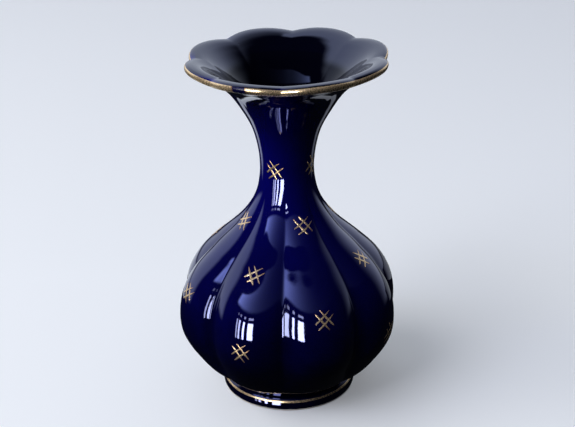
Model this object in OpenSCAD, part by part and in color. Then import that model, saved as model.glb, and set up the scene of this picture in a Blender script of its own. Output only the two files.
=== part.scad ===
// Fluted porcelain vase: a melon-ribbed belly on a turned foot, a slender round neck and a
// wide mouth with scalloped lobes, with gilding on the lip, on the foot and in small marks.
// Millimetres, +Z up, origin at the centre of the standing ring, one groove facing -Y.

/* [Overall] */
// Height of the vase, to the tips of the mouth's lobes
vase_h = 200; // [196:1:210]
// Number of lobes round the belly and the mouth
lobes = 8; // [6:1:10]
// Thickness of the porcelain wall
wall = 3.2; // [2.6:0.1:3.6]

/* [Foot] */
// Outer radius of the foot
foot_r = 38.5; // [36:0.5:40]
// Height of the foot, up to its waist
foot_h = 10.4; // [10:0.1:11]
// Radius of the hollow under the foot
recess_r = 33; // [30:0.5:34]
// Depth of the hollow under the foot
recess_d = 5; // [3:0.1:5.2]
// Height of the unglazed edge that the vase stands on
bare_h = 0.9; // [0.5:0.1:1.5]

/* [Belly and neck] */
// Radius of the belly over a lobe
belly_r = 64; // [60:0.5:68]
// Depth of the grooves between the lobes, where the belly is widest
groove_d = 6.7; // [3:0.1:7.5]
// Softness of the grooves' bottoms, as a share of the lobes' own curve
groove_soft = 0.06; // [0.05:0.01:0.5]
// Fullness of the lobes' sides
lobe_full = 0.14; // [0:0.01:0.2]
// Radius of the neck where it is thinnest
neck_r = 15.3; // [14:0.1:18]

/* [Mouth] */
// Radius of the mouth's underside where it meets the gilded edge, over a lobe
flare_r = 54; // [50:0.5:56]
// Depth of the notches between the mouth's lobes
notch_d = 3.4; // [2:0.1:5]
// How far the lip dips in the notches
notch_dip = 1.6; // [0.5:0.1:2.5]

/* [Gilding] */
// Thickness of the gold on the lip and on the foot
gilt_t = 0.25; // [0.2:0.01:0.4]
// Length of each stroke of a gilt mark
stroke_l = 12; // [10:0.5:14]
// Width of each stroke
stroke_w = 0.9; // [0.6:0.1:1.2]
// Distance between the two strokes of a pair
stroke_gap = 3.4; // [2.8:0.1:4]
// Turn of the marks on the surface, in degrees
mark_turn = 36; // [0:1:45]

/* [Hidden] */
glaze = "midnightblue";
gold = "darkgoldenrod";
// Points round each lobed ring, ten to a lobe
ring_n = 10 * lobes;
// Facets of the turned pieces
turned_n = 96;
// Gap that keeps a mark's underside clear of the facets below it
mark_lift = 0.05;
// Thickness of a mark
mark_t = 0.2;

// Course of the belly from above the waist to the neck, over a lobe:
// [share of the swell from neck to belly, height, share of the groove's full depth]
swell = [
    [0.64, 16, 0.27], [0.84, 28, 0.75], [0.97, 40, 0.96], [1, 52, 1], [0.955, 65, 0.95],
    [0.805, 78, 0.82], [0.565, 90, 0.57], [0.29, 102.5, 0.3], [0.095, 115.5, 0.11], [0.006, 129, 0]
];
// Course of the neck and mouth, over a lobe, with heights counted down from the top:
// [share of the flare, drop from the top, share of the notch's depth, share of its dip]
flare = [
    [0.003, 57, 0, 0], [0.085, 42, 0, 0], [0.255, 29, 0.03, 0], [0.465, 17.5, 0.15, 0.1],
    [0.72, 9.8, 0.44, 0.4], [1, 4.7, 0.97, 0.95]
];
// The glazed outside over a lobe: [radius, height, depth of the groove beside it, dip of the groove]
outline = concat(
    [[foot_r - 4.2, foot_h, 0, 0]],
    [for (s = swell) [mix(neck_r, belly_r, s[0]), s[1], s[2] * groove_d, 0]],
    [for (s = flare) [mix(neck_r, flare_r, s[0]), vase_h - s[1], s[2] * notch_d, s[3] * notch_dip]]
);
last = len(outline) - 1;
// Places along the outline of the level joints: bowl to shoulder, shoulder to neck, neck to mouth
shoulder_from = 4;
neck_from = 10;
neck_to = 12;
// Rounded edge of the mouth, which carries the gold, from the underside to the top: [outward, down]
edge = [[1.4, 3.9], [2.1, 2.6], [2, 1.2]];
// Top of the lip and the funnel inside it: [outward, down, share of the notch]
lip_top = [
    [0.8, 0.2, 1], [-1.2, 0, 1], [-4, 0.45, 0.95], [-7.5, 1.95, 0.8], [-11.7, 4.8, 0.58],
    [-17, 9.2, 0.35], [-22.5, 14.3, 0.18], [-26.6, 18.7, 0.08], [-29.3, 22.6, 0.04]
];
// Rows of gilt marks: [height, turn about the axis of the first one], a mark on every other lobe
mark_rows = [[48.5, -22.5], [68.5, 22.5], [87.5, -22.5], [108, 22.5], [138.5, -22.5]];
marks_in_row = 4;

function mix(a, b, k) = a + (b - a) * k;
function mark_name(i) = str("gilt_mark_", i < 10 ? "0" : "", i);

// Smooth curve through the outline's points, a Catmull-Rom spline; t counts the points
function curve(a, b, c, d, k) =
    (2 * b + (c - a) * k + (2 * a - 5 * b + 4 * c - d) * k ^ 2 + (3 * b - a - 3 * c + d) * k ^ 3) / 2;
function outside(t) =
    let (i = min(floor(t), last - 1), b = outline[i], c = outline[i + 1])
    let (a = i > 0 ? outline[i - 1] : 2 * b - c, d = i + 2 <= last ? outline[i + 2] : 2 * c - b)
    let (p = curve(a, b, c, d, t - i))
    [p[0], p[1], max(0, p[2]), max(0, p[3])];

// Direction square to the outline, pointing into the wall, as [outward, up]
function inward(t) =
    let (p = outside(max(0, t - 0.02)), q = outside(min(last, t + 0.02)), v = q - p)
    [-v[1], v[0]] / norm([v[0], v[1]]);
// Inside of the wall, square to the outline
function inside(t) =
    let (p = outside(t), n = inward(t))
    [p[0] + n[0] * wall, p[1] + n[1] * wall, p[2], p[3]];
// Inside of the wall at the outline's own height, for the flat joint between two pieces
function inside_level(t) =
    let (p = outside(t))
    [p[0] + wall / inward(t)[0], p[1], p[2], p[3]];

// Share of a lobe's full height at an azimuth: 1 over a lobe, 0 in a groove
function lobe(az) =
    let (s = sin(az * lobes / 2))
    let (k = (sqrt(s * s + groove_soft ^ 2) - groove_soft) / (sqrt(1 + groove_soft ^ 2) - groove_soft))
    k * (1 + lobe_full * (1 - k));
function ring_point(p, az) =
    let (k = 1 - lobe(az + 90), r = p[0] - p[2] * k)
    [r * cos(az), r * sin(az), p[1] - p[3] * k];

// Solid between the rings that a path sweeps round the axis. A closed path makes a hollow ring,
// and an open one is capped at its first and last ring.
module lobed_solid(path, closed) {
    n = len(path);
    points = [for (p = path) for (j = [0 : ring_n - 1]) ring_point(p, j * 360 / ring_n)];
    spans = closed ? n : n - 1;
    sides = [
        for (i = [0 : spans - 1]) for (j = [0 : ring_n - 1])
        let (a = i * ring_n, b = ((i + 1) % n) * ring_n, k = (j + 1) % ring_n)
        each [[a + j, b + j, b + k], [a + j, b + k, a + k]]
    ];
    tips = closed ? [] : [[0, 0, path[0][1]], [0, 0, path[n - 1][1]]];
    first = n * ring_n;
    top = (n - 1) * ring_n;
    caps = closed ? [] : [
        for (j = [0 : ring_n - 1])
        let (k = (j + 1) % ring_n)
        each [[first, j, k], [first + 1, top + k, top + j]]
    ];
    polyhedron(points = concat(points, tips), faces = concat(sides, caps), convexity = 8);
}

// Point on the lip: an offset outwards and down from the top of the flare
function lip_point(o, share = 1) =
    [flare_r + o[0], vase_h - o[1], share * notch_d, share * notch_dip];

// Unglazed edge that the vase stands on
module foot_bare_edge() {
    color("antiquewhite") rotate_extrude($fn = turned_n) polygon([
        [recess_r + 0.5, 0], [foot_r - 0.8, 0], [foot_r - 0.45, 0.3],
        [foot_r - 0.45, bare_h], [recess_r, bare_h], [recess_r, 0.4]
    ]);
}

// The foot's outside from the bare edge to the waist: face, gilded shoulder, cove
foot_face = [[foot_r - 0.45, bare_h], [foot_r, 2.4], [foot_r - 0.28, 4.2], [foot_r - 0.45, 5]];
foot_shoulder = [
    [foot_r - 0.45, 5], [foot_r - 0.62, 5.5], [foot_r - 0.85, 6], [foot_r - 1.1, 6.4]
];
foot_cove = [
    [foot_r - 2.1, 7.5], [foot_r - 3.3, 8.7], [foot_r - 4.05, 9.8], [foot_r - 4.2, foot_h]
];

// Glazed foot: an outer ring with a web across it that closes the hollow under the vase
module foot_ring() {
    inner = [[0, foot_h], [0, recess_d], [recess_r - 2, recess_d], [recess_r - 0.5, recess_d - 0.7],
        [recess_r, recess_d - 2], [recess_r, bare_h]];
    color(glaze) rotate_extrude($fn = turned_n)
        polygon(concat(foot_face, [for (i = [1 : 3]) foot_shoulder[i]], foot_cove, inner));
}

// Gold line on the foot's shoulder
module foot_gilding() {
    over = [for (i = [3 : -1 : 0]) foot_shoulder[i] + gilt_t * [1, i < 3 ? i / 3 : 1]];
    color(gold) rotate_extrude($fn = turned_n) polygon(concat(foot_shoulder, over));
}

// Ribbed bowl of the belly, from the foot to the widest place, with the floor of the vase
module belly_bowl() {
    outer = [for (t = [0 : 1 / 3 : shoulder_from + 0.01]) outside(t)];
    inner = [for (t = [shoulder_from - 0.5 : -0.5 : 1]) inside(t)];
    floor_rings = [[36, foot_h + 3.9, 0, 0], [22, foot_h + 1.8, 0, 0]];
    path = concat(outer, [inside_level(shoulder_from)], inner, floor_rings);
    color(glaze) lobed_solid(path, closed = false);
}

// Ribbed shoulder, from the widest place up to the neck, where the grooves run out
module shoulder() {
    outer = [for (t = [shoulder_from : 1 / 3 : neck_from + 0.01]) outside(t)];
    inner = [for (t = [neck_from - 0.5 : -0.5 : shoulder_from + 0.5]) inside(t)];
    path = concat(outer, [inside_level(neck_from)], inner, [inside_level(shoulder_from)]);
    color(glaze) lobed_solid(path, closed = true);
}

// Round neck
module neck() {
    outer = [for (t = [neck_from : 0.25 : neck_to]) outside(t)];
    inner = [for (t = [neck_to - 0.25 : -0.25 : neck_from + 0.25]) inside(t)];
    path = concat(outer, [inside_level(neck_to)], inner, [inside_level(neck_from)]);
    color(glaze) rotate_extrude($fn = turned_n) polygon([for (p = path) [p[0], p[1]]]);
}

// Flared mouth with its scalloped lip
module mouth() {
    outer = [for (t = [neck_to : 1 / 3 : last + 0.01]) outside(min(t, last))];
    rim = [for (o = edge) lip_point(o)];
    funnel = [for (o = lip_top) lip_point(o, o[2])];
    inner = [for (t = [last - 3 : -0.4 : neck_to + 0.3]) inside(t)];
    path = concat(outer, rim, funnel, inner, [inside_level(neck_to)]);
    color(glaze) lobed_solid(path, closed = true);
}

// Gold band round the lip's edge
module rim_gilding() {
    under = [for (o = edge) lip_point(o)];
    over = [for (o = [[2, 0.95], [2.1 + gilt_t, 2.5], [1.55, 4.1], [0.1, 4.95]]) lip_point(o)];
    color(gold) lobed_solid(concat([outside(last)], under, over), closed = true);
}

// Place along the outline at a given height, by halving
function place_at(z, lo = 0, hi = last, n = 24) =
    let (m = (lo + hi) / 2)
    n == 0 ? m : outside(m)[1] < z ? place_at(z, m, hi, n - 1) : place_at(z, lo, m, n - 1);

// Point of a gilt mark: x round the vase, y up the surface, lift off it
function mark_point(az, z, x, y, lift) =
    let (t = place_at(z - y * inward(place_at(z))[0]), p = outside(t), n = inward(t))
    ring_point([p[0] - n[0] * lift, p[1] - n[1] * lift, p[2], p[3]], az + x / p[0] * 180 / PI);

// Gilt mark: two pairs of crossed strokes laid on the glaze, made of the cells of a five by five
// grid that lie in a stroke
module gilt_mark(az, z) {
    half_gap = stroke_gap / 2;
    half_w = stroke_w / 2;
    lines = [-stroke_l / 2, -half_gap - half_w, -half_gap + half_w,
        half_gap - half_w, half_gap + half_w, stroke_l / 2];
    n = len(lines);
    function in_stroke(i, j) = i >= 0 && j >= 0 && i < n - 1 && j < n - 1 && (i % 2 == 1 || j % 2 == 1);
    function id(i, j, level) = (level * n + i) * n + j;
    points = [
        for (level = [0, 1]) for (u = lines) for (v = lines)
        mark_point(az, z, u * cos(mark_turn) - v * sin(mark_turn),
            u * sin(mark_turn) + v * cos(mark_turn), mark_lift + level * mark_t)
    ];
    cells = [for (i = [0 : n - 2]) for (j = [0 : n - 2]) if (in_stroke(i, j)) [i, j]];
    function wall_between(a, b, c, d) = [[a, c, d], [a, d, b]];
    faces = [
        for (c = cells)
        let (i = c[0], j = c[1], a = [i, j], b = [i + 1, j], d = [i + 1, j + 1], e = [i, j + 1])
        let (
            top = [for (q = [a, b, d, e]) id(q[0], q[1], 1)],
            low = [for (q = [a, b, d, e]) id(q[0], q[1], 0)]
        )
        each concat(
            [[top[0], top[2], top[1]], [top[0], top[3], top[2]]],
            [[low[0], low[1], low[2]], [low[0], low[2], low[3]]],
            in_stroke(i, j - 1) ? [] : wall_between(low[0], low[1], top[0], top[1]),
            in_stroke(i + 1, j) ? [] : wall_between(low[1], low[2], top[1], top[2]),
            in_stroke(i, j + 1) ? [] : wall_between(low[2], low[3], top[2], top[3]),
            in_stroke(i - 1, j) ? [] : wall_between(low[3], low[0], top[3], top[0])
        )
    ];
    color(gold) polyhedron(points = points, faces = faces, convexity = 6);
}

foot_bare_edge();
foot_ring();
foot_gilding();
belly_bowl();
shoulder();
neck();
mouth();
rim_gilding();
for (row = [0 : len(mark_rows) - 1]) for (k = [0 : marks_in_row - 1])
    gilt_mark(mark_rows[row][1] - 90 + k * 360 / marks_in_row, mark_rows[row][0]);
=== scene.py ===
"""Porcelain vase: cobalt glaze, scalloped mouth and ribbed belly, with gilding laid on by brush."""

import math

import bpy
import numpy as np
from mathutils import Matrix, Vector


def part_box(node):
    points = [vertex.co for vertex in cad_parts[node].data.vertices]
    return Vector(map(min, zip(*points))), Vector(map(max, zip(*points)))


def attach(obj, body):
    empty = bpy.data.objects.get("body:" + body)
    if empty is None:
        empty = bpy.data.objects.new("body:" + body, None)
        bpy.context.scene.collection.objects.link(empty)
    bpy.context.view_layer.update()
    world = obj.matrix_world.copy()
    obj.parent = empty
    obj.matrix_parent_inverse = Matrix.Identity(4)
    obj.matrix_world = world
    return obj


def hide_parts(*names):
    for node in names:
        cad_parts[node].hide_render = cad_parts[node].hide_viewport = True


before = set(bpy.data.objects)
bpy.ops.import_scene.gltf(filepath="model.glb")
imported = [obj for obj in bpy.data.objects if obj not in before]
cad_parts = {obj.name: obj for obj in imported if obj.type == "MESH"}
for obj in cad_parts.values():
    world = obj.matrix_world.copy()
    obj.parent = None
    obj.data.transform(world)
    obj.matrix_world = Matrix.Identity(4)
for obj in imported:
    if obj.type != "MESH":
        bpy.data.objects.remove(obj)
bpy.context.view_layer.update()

# ---------------------------------------------------------------- sizes, in metres
MM = 0.001
LOBES = 8
WALL = 3.2 * MM
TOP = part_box("mouth")[1].z
FOOT_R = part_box("foot_ring")[1].x
FOOT_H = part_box("belly_bowl")[0].z
BARE_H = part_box("foot_bare_edge")[1].z
WAIST_IN = 4.2 * MM
NECK_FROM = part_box("neck")[0].z
NECK_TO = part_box("neck")[1].z
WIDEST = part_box("shoulder")[0].z
BELLY_R = 64 * MM
NECK_R = 15.3 * MM
FLARE_R = 54 * MM
RECESS_R = 33 * MM
RECESS_D = 5 * MM
GROOVE_D = 6.7 * MM
GROOVE_SOFT = 0.05
LOBE_FULL = 0.14
NOTCH_D = 3.4 * MM
NOTCH_DIP = 1.6 * MM
# The mouth has sagged a little towards -X in the firing: rise per metre along X, and shift
MOUTH_TILT = 0.018
MOUTH_SHIFT = 0.6 * MM

# Course of the belly over a lobe: share of the swell from neck to belly, height in mm, share of
# the groove's depth. Course of the neck and mouth: share of the flare, drop from the top in mm,
# share of the notch's depth, share of its dip.
SWELL = [
    (0.64, 16, 0.27), (0.84, 28, 0.75), (0.97, 40, 0.96), (1, 52, 1), (0.955, 65, 0.95),
    (0.805, 78, 0.82), (0.565, 90, 0.57), (0.29, 102.5, 0.3), (0.095, 115.5, 0.11),
    (0.006, 129, 0),
]
FLARE = [
    (0.003, 57, 0, 0), (0.085, 42, 0, 0), (0.255, 29, 0.03, 0), (0.465, 17.5, 0.15, 0.1),
    (0.72, 9.8, 0.44, 0.4), (1, 4.7, 0.97, 0.95),
]
# Rounded lip, from the underside over the edge to the top, and the funnel inside it down to
# where the inside follows the outside: outwards and down from the end of the flare, in mm, and
# share of the notch
LIP = [
    (1.4, 3.9, 1), (2.1, 2.6, 1), (2, 1.2, 1), (0.8, 0.2, 1), (-1.2, 0, 1), (-4, 0.45, 0.95),
    (-7.5, 1.95, 0.8), (-11.7, 4.8, 0.58), (-17, 9.2, 0.35), (-22.5, 14.3, 0.18),
    (-26.6, 18.7, 0.08), (-29.3, 22.6, 0.04),
]
RING = 384
ROW_STEP = 0.9 * MM


def mix(a, b, k):
    """Value at share k of the way from a to b."""
    return a + (b - a) * k


def smooth_share(x, low, high):
    """Smooth step from 0 at low to 1 at high."""
    k = np.clip((x - low) / (high - low), 0, 1)
    return k * k * (3 - 2 * k)


# ---------------------------------------------------------------- the outline
def rounded(points, steps):
    """Uniform Catmull-Rom curve through rows of points, as the CAD outline is drawn."""
    p = np.asarray(points, float)
    p = np.vstack([2 * p[0] - p[1], p, 2 * p[-1] - p[-2]])
    k = np.linspace(0, 1, steps, endpoint=False)[:, None]
    spans = [
        (2 * b + (c - a) * k + (2 * a - 5 * b + 4 * c - d) * k**2
            + (3 * b - a - 3 * c + d) * k**3) / 2
        for a, b, c, d in zip(p[:-3], p[1:-2], p[2:-1], p[3:])
    ]
    return np.vstack([*spans, p[-2:-1]])


def along(points):
    """Running length of a row of points, measured in the plane of the outline."""
    steps = np.linalg.norm(np.diff(points[:, :2], axis=0), axis=1)
    return np.concatenate([[0], np.cumsum(steps)])


def eased(points, step=0.2 * MM):
    """Smooth curve through unevenly spaced rows of points, by their running length."""
    points = np.asarray(points, float)
    s = along(points)
    slope = np.gradient(points, s, axis=0)
    at = np.linspace(0, s[-1], int(s[-1] / step) + 2)
    i = np.clip(np.searchsorted(s, at, side="right") - 1, 0, len(s) - 2)
    h = (s[i + 1] - s[i])[:, None]
    k = (at - s[i])[:, None] / h
    return (
        (2 * k**3 - 3 * k**2 + 1) * points[i] + (k**3 - 2 * k**2 + k) * h * slope[i]
        + (3 * k**2 - 2 * k**3) * points[i + 1] + (k**3 - k**2) * h * slope[i + 1]
    )


def sideways(points):
    """Unit direction square to an outline in its own plane, out of the porcelain."""
    t = np.gradient(points[:, :2], along(points), axis=0)
    t /= np.linalg.norm(t, axis=1)[:, None]
    return np.stack([t[:, 1], -t[:, 0]], axis=1)


def glazed_outline():
    """The glazed outline over a lobe: up the outside, over the lip, down the inside to the axis.
    Each row is radius, height, groove depth and groove dip. Also returns the lip's first row."""
    keys = [(FOOT_R - WAIST_IN, FOOT_H, 0, 0)]
    keys += [(mix(NECK_R, BELLY_R, a), z * MM, g * GROOVE_D, 0) for a, z, g in SWELL]
    keys += [
        (mix(NECK_R, FLARE_R, a), TOP - d * MM, g * NOTCH_D, w * NOTCH_DIP)
        for a, d, g, w in FLARE
    ]
    per_key = 60
    outer = rounded(keys, per_key)
    outer[:, 2:] = np.maximum(outer[:, 2:], 0)
    inner = outer.copy()
    inner[:, :2] -= sideways(outer) * WALL
    lip = [(FLARE_R + x * MM, TOP - d * MM, k * NOTCH_D, k * NOTCH_DIP) for x, d, k in LIP]
    falling = inner[per_key : -3 * per_key : per_key // 4][::-1]
    floor = [
        (r * MM, FOOT_H + z * MM, 0, 0)
        for r, z in [(42.3, 6.6), (39, 4.9), (34, 3.2), (22, 2), (10, 1.6), (0, 1.6)]
    ]
    lead = outer[-per_key // 3 :]
    rest = eased(np.vstack([lead, lip, falling, floor]))
    begin = int(np.argmax(along(rest) > along(lead)[-1]))
    return np.vstack([outer, rest[begin:]]), len(outer) - 1


class Outline:
    """Rows of an outline with their running length and the direction out of the porcelain."""

    def __init__(self, rows):
        self.rows = rows
        self.s = along(rows)
        self.side = sideways(rows)

    def at(self, s):
        values = np.hstack([self.rows, self.side])
        return [np.interp(s, self.s, values[:, c]) for c in range(6)]


BODY_ROWS, LIP_ROW = glazed_outline()
BODY = Outline(BODY_ROWS)
INNER_ROW = LIP_ROW + int(np.argmax(BODY_ROWS[LIP_ROW:, 1] < TOP - 8 * MM))
LIP_S = BODY.s[LIP_ROW]


def length_at(z, inner=False):
    """Running length where the body's outline passes a height, outside or inside the wall."""
    if inner:
        return float(np.interp(-z, -BODY_ROWS[INNER_ROW:, 1], BODY.s[INNER_ROW:]))
    return float(np.interp(z, BODY_ROWS[: LIP_ROW + 1, 1], BODY.s[: LIP_ROW + 1]))


# ---------------------------------------------------------------- the surface
def lobe(az):
    """1 over a lobe and 0 in a groove; the grooves lie at whole eighths of a turn."""
    s = np.sin(az * LOBES / 2)
    low, high = GROOVE_SOFT, math.sqrt(1 + GROOVE_SOFT**2)
    share = (np.sqrt(s * s + low**2) - low) / (high - low)
    return share * (1 + LOBE_FULL * (1 - share))


# Slow ripples of a hand-finished surface: direction, waves per metre, height in mm
RIPPLES = [
    ((0.8, 0.5, 0.33), 210, 0.030), ((-0.4, 0.85, 0.35), 260, 0.026),
    ((0.25, -0.4, 0.88), 310, 0.024), ((0.9, -0.3, -0.3), 480, 0.011),
    ((0.1, 0.7, -0.7), 560, 0.009),
]


def ripple(p):
    """Height of the ripples at points in space."""
    total = np.zeros(p.shape[:-1])
    for n, (direction, waves, height) in enumerate(RIPPLES):
        total += height * MM * np.sin(p @ np.array(direction) * waves + 1.7 * n)
    return total


def surface(s, az, lift=0.0, outline=BODY):
    """Points of the glazed surface at running lengths s and azimuths az, raised by lift."""
    s, az = np.broadcast_arrays(np.asarray(s, float), np.asarray(az, float))
    radius, height, groove, dip, side_r, side_z = outline.at(s)
    cut = 1 - lobe(az)
    r = radius - groove * cut
    p = np.stack([r * np.cos(az), r * np.sin(az), height - dip * cut], axis=-1)
    out = np.stack([side_r * np.cos(az), side_r * np.sin(az), side_z], axis=-1)
    fade = smooth_share(radius, 3 * MM, 12 * MM) * smooth_share(height, FOOT_H, FOOT_H + 6 * MM)
    p = p + out * (ripple(p) * fade + lift)[..., None]
    high = smooth_share(height, 0.75 * TOP, TOP)
    p[..., 2] += high * MOUTH_TILT * p[..., 0]
    p[..., 0] += high * MOUTH_SHIFT
    return p


# ---------------------------------------------------------------- meshes from rings
AZ = np.linspace(0, 2 * math.pi, RING, endpoint=False)


def grid_normals(grid):
    """Unit normals of rings of points, outwards where the rings follow the glazed outline."""
    across = np.roll(grid, -1, axis=1) - np.roll(grid, 1, axis=1)
    n = np.cross(across, np.gradient(grid, axis=0))
    return n / np.maximum(np.linalg.norm(n, axis=-1, keepdims=True), 1e-12)


def band(make, start, end, step=ROW_STEP):
    """Rings of make(s) from start to end with their normals. One extra ring beyond each end
    gives pieces that meet there the same normals."""
    rows = max(2, int(abs(end - start) / step) + 1)
    s = np.linspace(start, end, rows)
    h = (end - start) * 1e-3
    s = np.concatenate([[start - h], s, [end + h]])
    grid = make(s[:, None])
    n = grid_normals(grid)
    n[1] = edge_normal(grid[0], grid[1])
    n[-2] = edge_normal(grid[-2], grid[-1])
    return grid[1:-1], n[1:-1]


def edge_normal(a, b):
    """Unit normals of the strip between two rings."""
    n = np.cross(np.roll(a, -1, axis=0) - np.roll(a, 1, axis=0), b - a)
    return n / np.maximum(np.linalg.norm(n, axis=-1, keepdims=True), 1e-12)


def flat(a, b):
    """Plain strip between two rings, with its own flat normals."""
    n = edge_normal(a, b)
    return np.stack([a, b]), np.stack([n, n])


def piece_from_rings(name, strips, tips=()):
    """Closed mesh from strips that follow each other. Each strip starts on the ring where the
    last one ended. With no tips, the last strip ends on the first ring; two tips are the points
    on the axis that close the first and last rings."""
    rings = [strips[0][0]] + [grid[1:] for grid, _ in strips[1:]]
    verts = np.concatenate(rings)
    if not tips:
        verts = verts[:-1]
    count = len(verts)
    verts = verts.reshape(-1, 3)
    faces, normals = [], []
    j = np.arange(RING)
    k = (j + 1) % RING
    row = 0
    for grid, n in strips:
        for i in range(len(grid) - 1):
            a, b = (row + i) * RING, ((row + i + 1) % count) * RING
            faces.append(np.stack([a + j, a + k, b + k, b + j], axis=1))
            normals.append(np.stack([n[i][j], n[i][k], n[i + 1][k], n[i + 1][j]], axis=1))
        row += len(grid) - 1
    sizes = [4] * (RING * sum(len(f) // RING for f in faces))
    corners = [f.ravel() for f in faces]
    corner_n = [n.reshape(-1, 3) for n in normals]
    if tips:
        base = len(verts)
        verts = np.vstack([verts, tips])
        last = (count - 1) * RING
        for tip, ring, up in ((base, 0, False), (base + 1, last, True)):
            a, b = (j, k) if up else (k, j)
            corners.append(np.stack([ring + a, ring + b, np.full(RING, tip)], axis=1).ravel())
            edge, inside = verts[ring : ring + RING], verts[tip]
            n = np.cross(edge[b] - edge[a], inside - edge[a])
            n /= np.linalg.norm(n, axis=1)[:, None]
            corner_n.append(np.repeat(n, 3, axis=0))
            sizes += [3] * RING
    return mesh_piece(name, verts, np.concatenate(corners), sizes, np.concatenate(corner_n))


def mesh_piece(name, verts, corners, sizes, corner_normals=None):
    """Object with a mesh of the given vertices and polygon corners."""
    mesh = bpy.data.meshes.new(name)
    mesh.vertices.add(len(verts))
    mesh.vertices.foreach_set("co", np.asarray(verts, np.float32).ravel())
    mesh.loops.add(len(corners))
    mesh.loops.foreach_set("vertex_index", np.asarray(corners, np.int32))
    mesh.polygons.add(len(sizes))
    starts = np.concatenate([[0], np.cumsum(sizes)[:-1]])
    mesh.polygons.foreach_set("loop_start", starts.astype(np.int32))
    mesh.update(calc_edges=True)
    mesh.polygons.foreach_set("use_smooth", np.ones(len(sizes), bool))
    if corner_normals is not None:
        mesh.normals_split_custom_set(corner_normals.tolist())
    obj = bpy.data.objects.new(name, mesh)
    bpy.context.scene.collection.objects.link(obj)
    return obj


def rides(obj, slot, *nodes):
    """A piece of the vase: it stands for these CAD nodes, which it hides, and hangs under the root.
    The slot is not used.
    """
    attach(obj, "root")
    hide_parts(*nodes)
    return obj


def store(obj, name, values):
    """Writes one value for each point of a mesh, for its material to read."""
    layer = obj.data.attributes.new(name, "FLOAT", "POINT")
    layer.data.foreach_set("value", np.asarray(values, np.float32))


def store_pool_and_painted_shade(obj):
    """Stores where the glaze lies thick in the grooves, and painted shade on the inside of the vase,
    in the hollow under its foot and on the top of the lip, deeper down the inside.
    """
    p = np.empty(len(obj.data.vertices) * 3, np.float32)
    obj.data.vertices.foreach_get("co", p)
    p = p.reshape(-1, 3)
    reach, az = np.hypot(p[:, 0], p[:, 1]), np.arctan2(p[:, 1], p[:, 0])
    outer = np.interp(p[:, 2], BODY_ROWS[: LIP_ROW + 1, 1], BODY_ROWS[: LIP_ROW + 1, 0])
    groove = np.interp(p[:, 2], BODY_ROWS[: LIP_ROW + 1, 1], BODY_ROWS[: LIP_ROW + 1, 2])
    cut = groove * (1 - lobe(az))
    # Painted shade on the inside of the vase and in the hollow under its foot, and with the next
    # line on the top of the lip
    inside = smooth_share(outer - cut - reach, 0.8 * MM, 2.2 * MM)
    inside = np.maximum(inside, smooth_share(p[:, 2], TOP - 3.2 * MM, TOP - 1.2 * MM))
    # The painted shade grows deeper down the inside
    deep = mix(0.55, 1, smooth_share(TOP - p[:, 2], 9 * MM, 15 * MM))
    in_groove = 0.22 * smooth_share(cut / GROOVE_D, 0.45, 0.95)
    store(obj, "pool_and_painted_shade", np.maximum(inside * deep, in_groove))


# ---------------------------------------------------------------- porcelain
def body_band(start, end, step=ROW_STEP):
    """Rings of the glazed surface between two running lengths, with their normals."""
    return band(lambda s: surface(s, AZ[None, :]), start, end, step)


def wall_section(name, low, high):
    """Section of the wall between two level joints, outside and inside."""
    outer = body_band(length_at(low), length_at(high))
    inner = body_band(length_at(high, True), length_at(low, True), 2 * ROW_STEP)
    strips = [
        outer, flat(outer[0][-1], inner[0][0]), inner, flat(inner[0][-1], outer[0][0]),
    ]
    return piece_from_rings(name, strips)


def belly_bowl():
    """Lower half of the belly with its floor."""
    outer = body_band(0, length_at(WIDEST))
    end = BODY.s[-1] - 2 * MM
    inner = body_band(length_at(WIDEST, True), end, 2 * ROW_STEP)
    strips = [outer, flat(outer[0][-1], inner[0][0]), inner]
    floor = FOOT_H + 1.6 * MM
    return piece_from_rings("belly_bowl_piece", strips, [(0, 0, FOOT_H), (0, 0, floor)])


def mouth():
    """Flared mouth with its rounded lip and the funnel inside it."""
    start = length_at(NECK_TO)
    lip_end = BODY.s[INNER_ROW]
    outer = body_band(start, LIP_S)
    lip = body_band(LIP_S, lip_end, 0.35 * MM)
    inner = body_band(lip_end, length_at(NECK_TO, True))
    closing = flat(inner[0][-1], outer[0][0])
    return piece_from_rings("mouth_piece", [outer, lip, inner, closing])


# The foot from its bare edge to the waist: face, shoulder under the gold, cove; outwards from
# the foot's radius and up from the ground, in mm
FOOT_FACE = [
    (-0.45, 0.9), (-0.12, 1.6), (0, 2.4), (-0.08, 3.4), (-0.25, 4.3), (-0.5, 5.2), (-0.85, 6),
    (-1.4, 6.8), (-2.1, 7.5), (-2.8, 8.15), (-3.4, 8.85), (-3.85, 9.45), (-4.1, 9.95), (-4.2, 10.4),
]


def foot_rows(points):
    """Outline of a part of the foot, from its points outwards and up in mm."""
    rows = [(FOOT_R + x * MM, z * MM, 0, 0) for x, z in points]
    return Outline(eased(rows, 0.1 * MM))


FOOT = foot_rows(FOOT_FACE)


def foot_band(outline, step=0.3 * MM):
    """Rings round the whole of a foot outline, with their normals."""
    return band(lambda s: surface(s, AZ[None, :], 0, outline), 0, outline.s[-1], step)


def foot_ring():
    """Glazed foot with the web that closes the hollow under the vase."""
    x = (RECESS_R - FOOT_R) / MM
    hollow = foot_rows([
        (x - 28, 5), (x - 20, 5), (x - 10, 5), (x - 3, 5), (x - 1.6, 4.8), (x - 0.7, 4.2),
        (x - 0.15, 3.2), (x, 2.2), (x, 0.9),
    ])
    under = foot_band(hollow, 0.6 * MM)
    face = foot_band(FOOT)
    base = flat(under[0][-1], face[0][0])
    return piece_from_rings(
        "foot_ring_piece", [under, base, face], [(0, 0, RECESS_D), (0, 0, FOOT_H)]
    )


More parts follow.
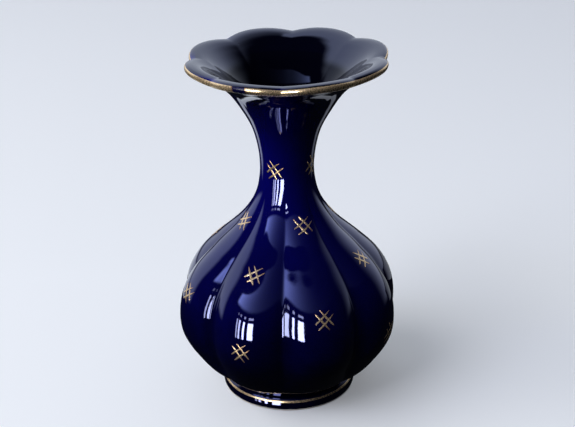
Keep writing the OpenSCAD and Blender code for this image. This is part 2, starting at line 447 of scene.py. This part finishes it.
def foot_bare_edge():
    """Unglazed edge that the vase stands on, ground flat below and eased at its corners."""
    x = (RECESS_R - FOOT_R) / MM
    outside = [(-0.9, 0), (-0.7, 0.06), (-0.53, 0.25), (-0.45, 0.5), (-0.45, 0.9)]
    inside = [(x, 0.9), (x + 0.02, 0.5), (x + 0.2, 0.15), (x + 0.55, 0)]
    outer = foot_band(foot_rows(outside))
    inner = foot_band(foot_rows(inside))
    strips = [outer, flat(outer[0][-1], inner[0][0]), inner, flat(inner[0][-1], outer[0][0])]
    return piece_from_rings("foot_bare_edge_piece", strips)


# ---------------------------------------------------------------- gilding
def wander(az, seed, waves=(5, 11, 23, 41)):
    """Slow unevenness of a hand-drawn edge round the vase, from about -1 to 1."""
    rng = np.random.default_rng(seed)
    return sum(np.sin(az * w + rng.uniform(0, 6.3)) / (1 + i) for i, w in enumerate(waves)) / 1.7


# How far the gold bands stand above the glaze, and how far their hidden side lies below it
GOLD_ABOVE = 0.1 * MM
GOLD_BELOW = 0.08 * MM


def gold_film(name, outline, low, high, rows, amount_at):
    """Thin film of gold between two hand-drawn edges round an outline; its edges dip into the
    glaze so that no gap shows."""
    def over(u):
        s = mix(low[None, :], high[None, :], u)
        edge = np.clip(1 - np.abs(2 * np.clip(u, 0, 1) - 1) ** 6, 0, 1)
        return surface(s, AZ[None, :], mix(-GOLD_BELOW, GOLD_ABOVE, edge), outline)

    def under(u):
        return surface(mix(high[None, :], low[None, :], u), AZ[None, :], -GOLD_BELOW, outline)

    top = band(over, 0, 1, 1 / rows)
    bottom = band(under, 0, 1, 1 / 6)
    obj = piece_from_rings(name, [top, bottom])
    share = np.linspace(0, 1, len(top[0]))[:, None]
    amount = np.minimum(share / 0.1, (1 - share) / 0.06).clip(0, 1) * amount_at(AZ[None, :], share)
    return gold_amounts(obj, amount)


def gold_amounts(obj, amount):
    """Stores how much gold lies at each point; points beyond the given ones are the hidden side."""
    values = np.ones(len(obj.data.vertices), np.float32)
    values[: amount.size] = amount.ravel()
    store(obj, "gold_amount", values)
    return obj


# Place on the lip where the gold was missed, turn about the axis and half width, in degrees
MISSED_AZ, MISSED_W = -112, 4.2


def rim_gold(az, share):
    """Amount of gold over the lip: full, thinner in places, with one spot missed."""
    turn = (np.degrees(az) - MISSED_AZ + 180) % 360 - 180 + 2.5 * (share - 0.5)
    missed = 1 - smooth_share(np.abs(turn), 0.6 * MISSED_W, 1.3 * MISSED_W)
    strokes = 0.5 + 0.5 * np.cos(turn * 2.6) * np.cos(share * 11)
    thin = 0.24 * (1 + wander(az, 9)) * (1 - share)
    return 1 - thin - 1.6 * missed * (0.7 + 0.3 * strokes)


def rim_gilding():
    """Gold round the edge of the mouth, from under the lip to just over its top."""
    start = LIP_S - 1.2 * MM + 0.4 * MM * wander(AZ, 3)
    end = LIP_S + 5.4 * MM + 0.2 * MM * wander(AZ, 4, (3, 7, 13))
    return gold_film("rim_gilding_piece", BODY, start, end, 26, rim_gold)


FOOT_GOLD_Z = 5 * MM
FOOT_GOLD_W = 1.5 * MM


def foot_gold(az, share):
    """Amount of gold on the foot: even, and a little less than full."""
    return np.full(np.broadcast(az, share).shape, 0.9)


def foot_gilding():
    """Gold line on the sloping shoulder of the foot."""
    low = float(np.interp(FOOT_GOLD_Z, FOOT.rows[:, 1], FOOT.s))
    start = low + 0.08 * MM * wander(AZ, 5)
    end = low + FOOT_GOLD_W + 0.1 * MM * wander(AZ, 6)
    return gold_film("foot_gilding_piece", FOOT, start, end, 16, foot_gold)


# Rows of gilt marks: height in mm, turn about the axis of the first one in degrees
MARK_ROWS = [(48.5, -22.5), (68.5, 22.5), (87.5, -22.5), (108, 22.5), (138.5, -22.5)]
MARKS_IN_ROW = 4
# How far the painter's hand strayed from the even rows: mark, degrees round, mm up
MARK_DRIFT = {
    1: (1.6, 1.5), 2: (-0.4, -3), 5: (0.1, 0.5), 6: (0.9, 0), 8: (2.1, -0.5), 9: (1.4, 0.5),
    10: (0.9, 0), 13: (2.1, 1), 16: (1.6, -1.5), 17: (-2.4, -0.5), 18: (0.4, 0.5),
}
STROKE_L = 12 * MM
STROKE_W = 1.35 * MM
STROKE_GAP = 3.3 * MM
MARK_TURN = math.radians(36)
STROKE_ROWS = 26
STROKE_COLUMNS = 8


def brush_stroke(centre_s, centre_az, angle, offset, rng):
    """Closed mesh of one stroke of gold on the glaze: it starts full, thins towards its end
    and bows a little. Returns points, polygons and how much gold lies at each point."""
    length = STROKE_L * rng.uniform(0.9, 1.05)
    width = STROKE_W * rng.uniform(0.85, 1.15)
    bow = rng.uniform(-0.25, 0.25) * MM
    slide = rng.uniform(-0.6, 0.6) * MM
    u = np.linspace(-1, 1, STROKE_ROWS)[:, None]
    v = np.linspace(-1, 1, STROKE_COLUMNS)[None, :]
    full = np.maximum(1 - u**2, 0.004) ** 0.35 * mix(1.0, 0.68, (u + 1) / 2)
    ragged = 1 + 0.12 * np.sin(u * 9 + rng.uniform(0, 6))
    x = u * length / 2 + slide
    y = offset + bow * (1 - u**2) + v * width / 2 * full * ragged
    along_v = x * math.cos(angle) - y * math.sin(angle)
    up_v = x * math.sin(angle) + y * math.cos(angle)
    s = centre_s + up_v
    reach = np.interp(s, BODY.s, BODY.rows[:, 0])
    az = centre_az + along_v / reach
    dome = (1 - v**2) * mix(1.0, 0.45, (u + 1) / 2)
    top = surface(s, az, mix(-0.05, 0.12, dome**0.5) * MM)
    low = surface(s, az, -0.06 * MM)
    return top, low, np.broadcast_to(full * (0.75 + 0.4 * dome), top.shape[:2])


def grid_faces(rows, columns, first):
    """Quads of a grid of points, anticlockwise seen from above."""
    i, j = np.meshgrid(np.arange(rows - 1), np.arange(columns - 1), indexing="ij")
    a = first + (i * columns + j).ravel()
    return np.stack([a, a + columns, a + columns + 1, a + 1], axis=1)


def gilt_mark(number, height, az):
    """Four crossed brush strokes of gold."""
    rng = np.random.default_rng(100 + number)
    turn = MARK_TURN + rng.uniform(-0.09, 0.09)
    round_by, up_by = MARK_DRIFT.get(number, (rng.uniform(-1.5, 1.5), rng.uniform(-1, 1)))
    centre_s = length_at((height + up_by) * MM)
    centre_az = az + math.radians(round_by)
    verts, faces, gold = [], [], []
    for pair in (0, 1):
        lean = turn + pair * math.radians(90 + rng.uniform(-6, 4))
        for side in (-0.5, 0.5):
            turned = pair * int(rng.integers(0, 2))
            apart = side * (-1) ** turned * STROKE_GAP * rng.uniform(0.93, 1.12)
            top, low, amount = brush_stroke(
                centre_s, centre_az, lean + math.pi * turned, apart, rng
            )
            add_stroke(verts, faces, gold, top, low, amount)
    corners = np.concatenate(faces)
    name = f"gilt_mark_{number:02d}_piece"
    obj = mesh_piece(name, np.concatenate(verts), corners.ravel(), [4] * len(corners))
    gold_amounts(obj, np.concatenate(gold))
    return rides(obj, "gold", f"gilt_mark_{number:02d}")


def add_stroke(verts, faces, gold, top, low, amount):
    """Closes one stroke round its edge and adds it to the mark's lists."""
    rows, columns = top.shape[:2]
    first = sum(len(v) for v in verts)
    below = first + rows * columns
    verts += [top.reshape(-1, 3), low.reshape(-1, 3)]
    gold += [amount.ravel(), amount.ravel()]
    faces.append(grid_faces(rows, columns, first))
    faces.append(grid_faces(rows, columns, below)[:, ::-1])
    i, j = np.arange(rows) * columns, np.arange(columns)
    edge = np.concatenate([j, i[1:] + columns - 1, (rows - 1) * columns + j[-2::-1], i[-2:0:-1]])
    on = np.roll(edge, -1)
    faces.append(np.stack([first + edge, first + on, below + on, below + edge], axis=1))


def build_vase():
    """All pieces: glazed sections, bare edge, gold bands and gilt marks."""
    glazed = [
        rides(foot_ring(), "blue_glaze", "foot_ring"),
        rides(belly_bowl(), "blue_glaze", "belly_bowl"),
        rides(wall_section("shoulder_piece", WIDEST, NECK_FROM), "blue_glaze", "shoulder"),
        rides(wall_section("neck_piece", NECK_FROM, NECK_TO), "blue_glaze", "neck"),
        rides(mouth(), "blue_glaze", "mouth"),
    ]
    bare = rides(foot_bare_edge(), "bare_porcelain", "foot_bare_edge")
    bands = [
        rides(rim_gilding(), "gold", "rim_gilding"),
        rides(foot_gilding(), "gold", "foot_gilding"),
    ]
    marks = []
    for height, first in MARK_ROWS:
        for k in range(MARKS_IN_ROW):
            az = math.radians(first - 90 + k * 360 / MARKS_IN_ROW)
            marks.append(gilt_mark(len(marks) + 1, height, az))
    return glazed, bare, bands, marks


# ---------------------------------------------------------------- materials
class Nodes:
    """Short way to write a node tree: a value is a number, a colour or another node's socket."""

    def __init__(self, tree):
        self.tree = tree

    def put(self, socket, value):
        if isinstance(value, bpy.types.NodeSocket):
            self.tree.links.new(value, socket)
        elif value is not None:
            socket.default_value = value

    def add(self, kind, values=(), settings=()):
        node = self.tree.nodes.new("ShaderNode" + kind)
        for name, value in dict(settings).items():
            setattr(node, name, value)
        for name, value in dict(values).items():
            self.put(node.inputs[name], value)
        return node

    def math(self, operation, a, b=None, clamp=False):
        node = self.add("Math", {0: a}, {"operation": operation, "use_clamp": clamp})
        self.put(node.inputs[1], b)
        return node.outputs[0]

    def share(self, value, low, high, out_low=0.0, out_high=1.0):
        """Smooth step of a value between low and high, onto out_low to out_high."""
        values = {0: value, 1: low, 2: high, 3: out_low, 4: out_high}
        return self.add("MapRange", values, {"interpolation_type": "SMOOTHSTEP"}).outputs[0]

    def noise(self, where, scale, detail=3.0, rough=0.5, distortion=0.0):
        values = {
            "Vector": where, "Scale": scale, "Detail": detail, "Roughness": rough,
            "Distortion": distortion,
        }
        return self.add("TexNoise", values).outputs["Fac"]

    def mix(self, share, a, b):
        node = self.add("Mix", {0: share, 6: a, 7: b}, {"data_type": "RGBA"})
        return node.outputs[2]

    def bump(self, height, distance, strength=1.0, normal=None):
        values = {"Strength": strength, "Distance": distance, "Height": height, "Normal": normal}
        return self.add("Bump", values).outputs[0]

    def place(self):
        return self.add("TexCoord").outputs["Object"]

    def attribute(self, name):
        return self.add("Attribute", settings={"attribute_name": name}).outputs["Fac"]


def new_material(name):
    """Node material, with its node tree and the inputs of its shader."""
    material = bpy.data.materials.new(name)
    material.use_nodes = True
    tree = material.node_tree
    return material, Nodes(tree), tree.nodes["Principled BSDF"].inputs


COBALT_HIGH = (0.0015, 0.001, 0.135, 1)
COBALT = (0.0008, 0.0006, 0.045, 1)
COBALT_LOW = (0.0003, 0.0003, 0.012, 1)
COBALT_THIN = (0.0018, 0.0014, 0.1, 1)
# Nearly black: glaze pooled in the grooves, and painted shade inside the vase, under its foot and on
# the lip's top
COBALT_POOLED_AND_SHADED = (0.0005, 0.0005, 0.003, 1)
SHEEN = (0.5, 0.54, 1, 1)
SHEEN_POOLED_AND_SHADED = (0.62, 0.7, 1, 1)


def glaze_colour(n, where):
    """Cobalt: bright on the neck and darker towards the bottom of the belly, with faint clouds and
    specks;
    darker where it pooled in the grooves, and nearly black as painted shade inside and on the lip's
    top."""
    height = n.add("SeparateXYZ", {0: where}).outputs[2]
    ground = n.mix(n.share(height, 0.02, 0.085), COBALT_LOW, COBALT)
    ground = n.mix(n.share(height, 0.085, 0.15), ground, COBALT_HIGH)
    cloud = n.noise(where, 38, 4, 0.6)
    speck = n.noise(where, 900, 2, 0.7)
    thin = n.math("ADD", n.share(cloud, 0.45, 0.75, 0, 0.25), n.share(speck, 0.6, 0.8, 0, 0.2))
    colour = n.mix(thin, ground, COBALT_THIN)
    # Darker where the glaze pooled in the grooves; painted shade, nearly black, inside the vase,
    # under its foot and on the lip's top
    return n.mix(n.math("MULTIPLY", n.attribute("pool_and_painted_shade"), 1.8, True), colour, COBALT_POOLED_AND_SHADED)


def glaze_surface(n, where):
    """Roughness and bump of the glaze: faint smears, orange peel and a few pinholes."""
    smear = n.noise(where, 26, 5, 0.62, 0.8)
    rough = n.share(smear, 0.4, 0.8, 0.035, 0.085)
    peel = n.noise(where, 260, 2, 0.45)
    spots = n.add("TexVoronoi", {"Vector": where, "Scale": 85}).outputs["Distance"]
    hole = n.share(spots, 0.012, 0.05)
    normal = n.bump(peel, 0.05 * MM, 0.35)
    return rough, n.bump(hole, 0.12 * MM, 0.5, normal)


def blue_glaze():
    """Cobalt glaze: a tinted, very glossy coat. Its reflections are tinted paler where the glaze
    pooled and inside, and dimmed as painted shade inside the vase, under its foot and on the lip's
    top.
    """
    material, n, shader = new_material("cobalt_glaze")
    where = n.place()
    n.put(shader["Base Color"], glaze_colour(n, where))
    rough, normal = glaze_surface(n, where)
    n.put(shader["Roughness"], rough)
    n.put(shader["Normal"], normal)
    shader["IOR"].default_value = 1.95
    pool_and_painted_shade = n.attribute("pool_and_painted_shade")
    n.put(shader["Specular Tint"], n.mix(pool_and_painted_shade, SHEEN, SHEEN_POOLED_AND_SHADED))
    # Painted shade: the reflections are dimmed inside the vase, under its foot and on the lip's top
    n.put(shader["Specular IOR Level"], n.share(pool_and_painted_shade, 0.55, 1, 0.5, 0.12))
    return material


GOLD = (0.98, 0.73, 0.43, 1)
GOLD_RED = (0.58, 0.33, 0.18, 1)


def gold():
    """Brushed-on gold: streaks, redder and duller where it is thin, worn off where it is least,
    so that the cobalt shows through."""
    material, n, shader = new_material("burnished_gold")
    where = n.place()
    patch = n.noise(where, 170, 4, 0.65)
    grain = n.noise(where, 1400, 3, 0.6)
    amount = n.attribute("gold_amount")
    body = n.math("ADD", amount, n.math("MULTIPLY", n.math("SUBTRACT", patch, 0.5), 0.9))
    body = n.math("ADD", body, n.math("MULTIPLY", n.math("SUBTRACT", grain, 0.5), 0.5))
    there = n.share(body, 0.06, 0.2)
    full = n.share(body, 0.3, 0.85)
    n.put(shader["Base Color"], n.mix(there, COBALT, n.mix(full, GOLD_RED, GOLD)))
    n.put(shader["Metallic"], n.math("MULTIPLY", there, 0.72))
    n.put(shader["Roughness"], n.share(grain, 0.3, 0.75, 0.2, 0.38))
    streak = n.add("Mapping", {"Vector": where, "Scale": (1, 1, 0.25)}).outputs[0]
    relief = n.math("ADD", n.noise(streak, 700, 2, 0.5), n.math("MULTIPLY", grain, 0.3))
    n.put(shader["Normal"], n.bump(relief, 0.06 * MM, 0.5))
    return material


def bare_porcelain():
    """Matt, slightly stained fired porcelain."""
    material, n, shader = new_material("unglazed_porcelain")
    where = n.place()
    grain = n.noise(where, 2600, 3, 0.7)
    stain = n.noise(where, 120, 4, 0.6)
    colour = n.mix(n.share(stain, 0.35, 0.75), (0.78, 0.75, 0.68, 1), (0.5, 0.45, 0.38, 1))
    n.put(shader["Base Color"], colour)
    n.put(shader["Roughness"], n.share(grain, 0.2, 0.8, 0.55, 0.8))
    n.put(shader["Normal"], n.bump(grain, 0.05 * MM, 0.6))
    return material


# ---------------------------------------------------------------- stage, light and camera
# Place of the camera: distance from the axis, height, azimuth from the front, in degrees
CAMERA_BACK, CAMERA_UP, CAMERA_AZ = 0.6877, 0.4155, 3.6
CAMERA_PITCH, CAMERA_ROLL = 24.19, -0.53
CAMERA_LENS = 83.54


def make_camera():
    """Camera at the given place, tipped down and turned towards the vase."""
    data = bpy.data.cameras.new("camera")
    data.lens = CAMERA_LENS
    data.sensor_width = 36
    camera = bpy.data.objects.new("camera", data)
    turn = Matrix.Rotation(math.radians(CAMERA_AZ), 4, "Z")
    place = Matrix.Translation((0, -CAMERA_BACK, CAMERA_UP))
    aim = Matrix.Rotation(math.radians(90 - CAMERA_PITCH), 4, "X")
    roll = Matrix.Rotation(math.radians(CAMERA_ROLL), 4, "Z")
    camera.matrix_world = turn @ place @ aim @ roll
    bpy.context.scene.collection.objects.link(camera)
    bpy.context.scene.camera = camera


# The floor is level to a share of its radius, and from there it rises by COVE_RISE times the
# square of the share that is left
FLOOR_R = 3.5
FLOOR_LEVEL = 0.55
COVE_RISE = 12.0
PALE = (0.74, 0.76, 0.79, 1)
FLOOR_GLOW = 0.22


def make_floor():
    """Pale round floor that sweeps up at its edge, so that it is the ground of every view. It
    stays out of the reflections, where the vase has the dark of a table."""
    rings, around = 40, 96
    verts = [(0, 0, 0)]
    faces = []
    for i in range(1, rings + 1):
        k = i / rings
        r = FLOOR_R * k
        z = COVE_RISE * max(0, k - FLOOR_LEVEL) ** 2
        turns = np.linspace(0, 2 * math.pi, around, endpoint=False)
        verts += [(r * math.cos(a), r * math.sin(a), z) for a in turns]
    for j in range(around):
        faces.append((0, 1 + j, 1 + (j + 1) % around))
    for i in range(rings - 1):
        a, b = 1 + i * around, 1 + (i + 1) * around
        for j in range(around):
            k = (j + 1) % around
            faces.append((a + j, b + j, b + k, a + k))
    mesh = bpy.data.meshes.new("floor")
    mesh.from_pydata(verts, [], faces)
    for polygon in mesh.polygons:
        polygon.use_smooth = True
    floor = bpy.data.objects.new("floor", mesh)
    bpy.context.scene.collection.objects.link(floor)
    material, _, shader = new_material("pale_floor")
    shader["Base Color"].default_value = PALE
    shader["Roughness"].default_value = 0.9
    shader["Specular IOR Level"].default_value = 0.1
    shader["Emission Color"].default_value = PALE
    shader["Emission Strength"].default_value = FLOOR_GLOW
    mesh.materials.append(material)
    floor.visible_glossy = False
    floor.visible_diffuse = False


def toward(az, el, distance):
    """Point in a direction from the vase: degrees to the right of the camera's azimuth, and up."""
    a, e = math.radians(az + CAMERA_AZ), math.radians(el)
    out = Vector((math.sin(a) * math.cos(e), -math.cos(a) * math.cos(e), math.sin(e)))
    return out * distance


# Point at which the lights aim
AIM = Vector((0, 0, 0.08))


def area_light(name, az, el, wide, high, level, distance=2.4, glossy=True):
    """Rectangular light that covers wide by high degrees and faces the vase. Level is how bright
    its face is, where 1 is paper white. It is either mirrored by the vase or lights it softly."""
    data = bpy.data.lights.new(name, "AREA")
    data.shape = "RECTANGLE"
    data.size = 2 * distance * math.tan(math.radians(wide / 2))
    data.size_y = 2 * distance * math.tan(math.radians(high / 2))
    data.energy = level * data.size * data.size_y * math.pi
    lamp = bpy.data.objects.new(name, data)
    lamp.location = AIM + toward(az, el, distance)
    lamp.rotation_mode = "QUATERNION"
    lamp.rotation_quaternion = (AIM - lamp.location).to_track_quat("-Z", "Y")
    lamp.visible_camera = False
    lamp.visible_glossy = glossy
    lamp.visible_diffuse = not glossy
    bpy.context.scene.collection.objects.link(lamp)


# Panes of the window light: name, azimuth of the middle, width in degrees, level
PANES = [
    ("outer", -56, 3, 6), ("left", -49.3, 4.2, 11), ("middle", -38, 4.6, 19),
    ("right", -21, 13, 19),
]
# Middle elevation and height of the panes and of the strips above them, in degrees
PANE_EL, PANE_HIGH = 1, 31
STRIP_EL, STRIP_HIGH = 22.5, 3


def make_window():
    """Panes of a window to the left of the camera, each with a dim strip above it."""
    for name, az, wide, level in PANES:
        area_light(f"window_{name}", az, PANE_EL, wide, PANE_HIGH, level)
        area_light(f"window_{name}_top", az, STRIP_EL, wide * 0.9, STRIP_HIGH, level / 4)


# Brightness of the mirrored room, where 1 is paper white: the left end of the ceiling and its
# fall towards the right per radian, the wall behind, and the dark everywhere else
CEILING_LEVEL, CEILING_FALL = 2.6, 2.4
WALL_LEVEL = 0.9
DARK_LEVEL = 0.006
CEILING_COLOUR = (0.8, 0.92, 1.45, 1)
WALL_COLOUR = (0.86, 0.93, 1.05, 1)


def make_world():
    """Room that the glaze mirrors: pale behind the vase, a lit ceiling in front that falls off to
    the right, dark elsewhere."""
    world = bpy.data.worlds.new("studio")
    bpy.context.scene.world = world
    world.use_nodes = True
    n = Nodes(world.node_tree)
    direction = n.add("TexCoord").outputs["Generated"]
    turned = n.add(
        "VectorRotate", {"Vector": direction, "Angle": -math.radians(CAMERA_AZ)},
        {"rotation_type": "Z_AXIS"},
    ).outputs[0]
    x, y, z = n.add("SeparateXYZ", {0: turned}).outputs
    az = n.math("ARCTAN2", x, n.math("MULTIPLY", y, -1))
    el = n.math("ARCSINE", z)

    def between(angle, low, high, out_low=0.0, out_high=1.0):
        """Smooth step of an angle between two angles in degrees."""
        return n.share(angle, math.radians(low), math.radians(high), out_low, out_high)

    # The ceiling starts above the window, ends higher towards the right, and fades that way
    ceiling = between(el, 29, 34)
    ends = between(az, -78, -5, math.radians(43), math.radians(63))
    ceiling = n.math("MULTIPLY", ceiling, between(n.math("SUBTRACT", ends, el), -1.5, 1.5))
    ceiling = n.math("MULTIPLY", ceiling, between(az, -73, -65))
    past_left = n.math("ADD", az, math.radians(62))
    fall = n.math("EXPONENT", n.math("MULTIPLY", past_left, -CEILING_FALL))
    ceiling = n.math("MULTIPLY", ceiling, n.math("MULTIPLY", fall, CEILING_LEVEL))
    ceiling = n.math("MULTIPLY", ceiling, n.share(y, 0.1, -0.1))

    # The wall behind dims sooner to the right, and ends a little below the level of the eye
    right = n.share(x, -0.05, 0.05)
    wall = n.share(y, 0.12, n.share(right, 0, 1, 0.32, 0.95), 0, WALL_LEVEL)
    wall = n.math("MULTIPLY", wall, between(el, -9, -1))

    level = n.math("ADD", n.math("MAXIMUM", wall, ceiling), DARK_LEVEL)
    colour = n.mix(n.share(y, -0.05, 0.05), CEILING_COLOUR, WALL_COLOUR)
    background = world.node_tree.nodes["Background"].inputs
    n.put(background["Color"], colour)
    n.put(background["Strength"], level)


# Foot of the wall: distance behind the axis, half its length and its height
WALL_BACK = 0.142
WALL_HALF = 0.3
WALL_HIGH = 0.055


def make_wall():
    """Foot of the wall close behind the vase, seen only as a reflection under the mouth. It is
    brightest left of the vase and dim to its right."""
    corners = [
        (-WALL_HALF, 0, 0), (WALL_HALF, 0, 0), (WALL_HALF, 0, WALL_HIGH), (-WALL_HALF, 0, WALL_HIGH),
    ]
    mesh = bpy.data.meshes.new("wall")
    mesh.from_pydata(corners, [], [(0, 1, 2, 3)])
    wall = bpy.data.objects.new("wall", mesh)
    turn = Matrix.Rotation(math.radians(CAMERA_AZ), 4, "Z")
    wall.matrix_world = turn @ Matrix.Translation((0, WALL_BACK, 0))
    bpy.context.scene.collection.objects.link(wall)
    material, n, shader = new_material("lit_wall")
    x, _, z = n.add("SeparateXYZ", {0: n.place()}).outputs
    level = n.math("MULTIPLY", n.share(x, -0.28, -0.16, 0, 1.1), n.share(x, 0.05, -0.03, 0.3, 1))
    level = n.math("MULTIPLY", level, n.share(x, 0.28, 0.18))
    level = n.math("MULTIPLY", level, n.share(z, WALL_HIGH, WALL_HIGH - 0.01))
    shader["Base Color"].default_value = (0, 0, 0, 1)
    shader["Specular IOR Level"].default_value = 0
    shader["Emission Color"].default_value = (0.88, 0.94, 1, 1)
    n.put(shader["Emission Strength"], level)
    mesh.materials.append(material)
    wall.visible_camera = wall.visible_diffuse = wall.visible_shadow = False


def make_light():
    """Room and window that the vase mirrors, and the soft light that falls on it."""
    make_world()
    make_wall()
    make_window()
    # Soft light that is not mirrored: the window's, and a little from the room on the right
    area_light("key", -66, 41, 56, 40, 4.2, glossy=False)
    area_light("fill", 60, 62, 60, 40, 0.4, glossy=False)


glazed, bare, bands, marks = build_vase()
glaze_material, gold_material, bare_material = blue_glaze(), gold(), bare_porcelain()
for obj in glazed:
    store_pool_and_painted_shade(obj)
    obj.data.materials.append(glaze_material)
for obj in bands + marks:
    obj.data.materials.append(gold_material)
bare.data.materials.append(bare_material)
make_floor()
make_camera()
make_light()
bpy.context.scene.view_settings.view_transform = "Standard"
